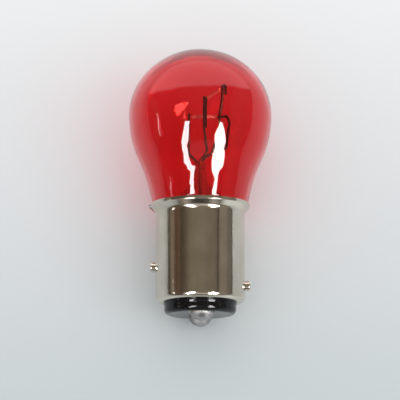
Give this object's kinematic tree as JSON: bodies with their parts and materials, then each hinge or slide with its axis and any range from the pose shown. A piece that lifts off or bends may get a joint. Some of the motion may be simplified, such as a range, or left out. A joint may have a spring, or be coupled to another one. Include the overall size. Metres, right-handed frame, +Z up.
{
  "type": "brake light bulb",
  "caption": "Red glass brake light bulb with a plated bayonet cap, staggered pins and soldered end contacts, lying on its side as it comes to rest.",
  "frame": {"origin": "on the table, under the middle of the bounding box", "axes": "+Z up, +Y along the lying lamp from its end contacts to the crown of the glass, X level through the bayonet pins with the pin nearer the collar at -X"},
  "size_m": [0.0244, 0.0476, 0.0246],
  "materials": {
    "red_glass": "clear red glass, polished",
    "clear_glass": "clear glass, fire polished",
    "nickel_plate": "brass, nickel plated, with fine draw marks",
    "lead_wire": "nickel-plated iron wire, satin",
    "tungsten": "drawn tungsten, satin",
    "solder": "tin solder, dull, set from the melt",
    "black_glass": "opaque black glass, cast, glossy",
    "brass": "punched brass",
    "cement": "baked capping cement, matt"
  },
  "bodies": {
    "root": {"basing_cement": "cement", "brake_filament": "tungsten", "cap_shell": "nickel_plate", "contact_eyelet_brake": "brass", "contact_eyelet_tail": "brass", "glass_bulb": "red_glass", "glass_stem": "clear_glass", "insulator": "black_glass", "lead_wire_brake": "lead_wire", "lead_wire_common": "lead_wire", "lead_wire_tail": "lead_wire", "pin_lower": "nickel_plate", "pin_upper": "nickel_plate", "solder_contact_brake": "solder", "solder_contact_tail": "solder", "solder_side": "solder", "support_wire": "lead_wire", "tail_filament": "tungsten"}
  },
  "joints": []
}
